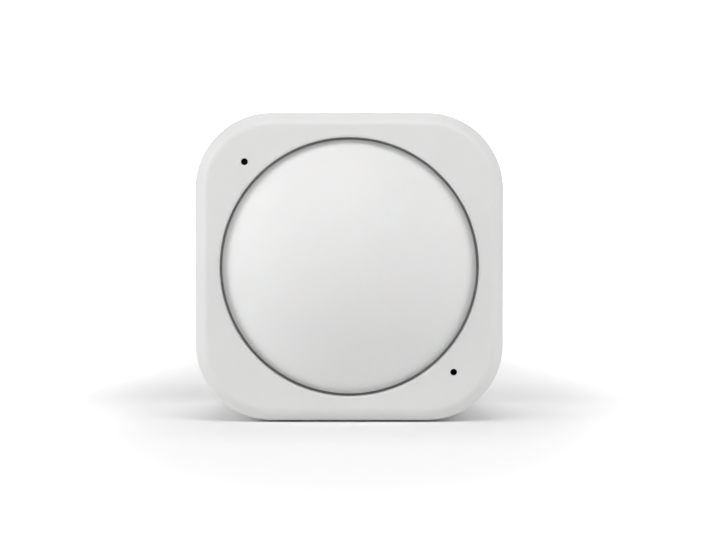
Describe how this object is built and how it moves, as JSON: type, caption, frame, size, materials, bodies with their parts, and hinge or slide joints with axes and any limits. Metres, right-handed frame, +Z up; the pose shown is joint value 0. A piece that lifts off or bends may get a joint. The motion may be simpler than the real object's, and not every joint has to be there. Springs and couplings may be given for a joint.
{
  "type": "multisensor",
  "caption": "Small rounded square room sensor with a large dome lens in front, pinholes for light and air, a side inlet with a flap, a side button and a locked rear cell cover.",
  "frame": {"origin": "middle of the bottom of the object's box, on the surface it stands on", "axes": "+Z up, the dome lens looks along -Y, +X to the viewer's right"},
  "size_m": [0.044, 0.044, 0.044],
  "materials": {
    "housing_white": "fine moulded satin white",
    "dome_white": "smooth satin translucent white",
    "inner_black": "matt black moulding",
    "clear_plastic": "clear polished",
    "foam_grey": "open cell foam",
    "membrane_white": "thin woven membrane",
    "board_green": "solder mask over glass fibre board",
    "can_metal": "tinned sheet",
    "filter_dark": "dark polished filter",
    "lead_metal": "nickel plated",
    "chip_black": "moulded black",
    "led_white": "diffusing resin",
    "ceramic_white": "ceramic block",
    "capacitor_alu": "drawn can",
    "flap_white": "soft moulded white",
    "tray_white": "moulded white",
    "screw_metal": "zinc plated",
    "cell_metal": "drawn can",
    "sleeve_grey": "shrink sleeve",
    "insert_brass": "turned"
  },
  "bodies": {
    "housing": {"front_housing": "housing_white", "fresnel_dome": "dome_white", "lens_carrier": "inner_black", "light_pipe": "clear_plastic", "vent_gasket": "foam_grey", "vent_membrane": "membrane_white", "main_board": "board_green", "pir_can": "can_metal", "pir_window": "filter_dark", "pir_leads": "lead_metal", "pir_spacer": "inner_black", "light_sensor": "chip_black", "uv_sensor": "chip_black", "climate_sensor": "chip_black", "vibration_sensor": "can_metal", "status_led": "led_white", "radio_shield": "can_metal", "microcontroller": "chip_black", "crystal": "can_metal", "antenna": "ceramic_white", "capacitors": "capacitor_alu", "usb_socket": "can_metal", "usb_tongue": "inner_black", "button_switch": "chip_black", "battery_tray": "tray_white", "tray_screws": "screw_metal", "upper_cell": "cell_metal", "upper_cell_sleeve": "sleeve_grey", "lower_cell": "cell_metal", "lower_cell_sleeve": "sleeve_grey", "bridge_contact": "lead_metal", "positive_contact": "lead_metal", "negative_contact": "lead_metal", "contact_springs": "lead_metal"},
    "cover": {"rear_cover": "housing_white", "thread_insert": "insert_brass", "foam_pads": "foam_grey"},
    "lock": {"lock_slider": "housing_white"},
    "button": {"action_button": "housing_white", "switch_plunger": "inner_black"},
    "flap": {"usb_flap": "flap_white"}
  },
  "joints": [
    {"name": "cover_slide", "type": "slide", "parent": "housing", "child": "cover", "axis": [0, 1, 0], "range_m": [0, 0.045]},
    {"name": "lock_slide", "type": "slide", "parent": "cover", "child": "lock", "axis": [1, 0, 0], "range_m": [0, 0.003]},
    {"name": "button_press", "type": "slide", "parent": "housing", "child": "button", "axis": [-1, 0, 0], "range_m": [0, 0.0004], "stiffness_N_per_m": 300, "springref_m": -0.0005},
    {"name": "flap_hinge", "type": "hinge", "parent": "housing", "child": "flap", "pos_m": [0.02135, -0.0053, 0.0212], "axis": [0, -1, 0], "range_deg": [0, 90]}
  ]
}
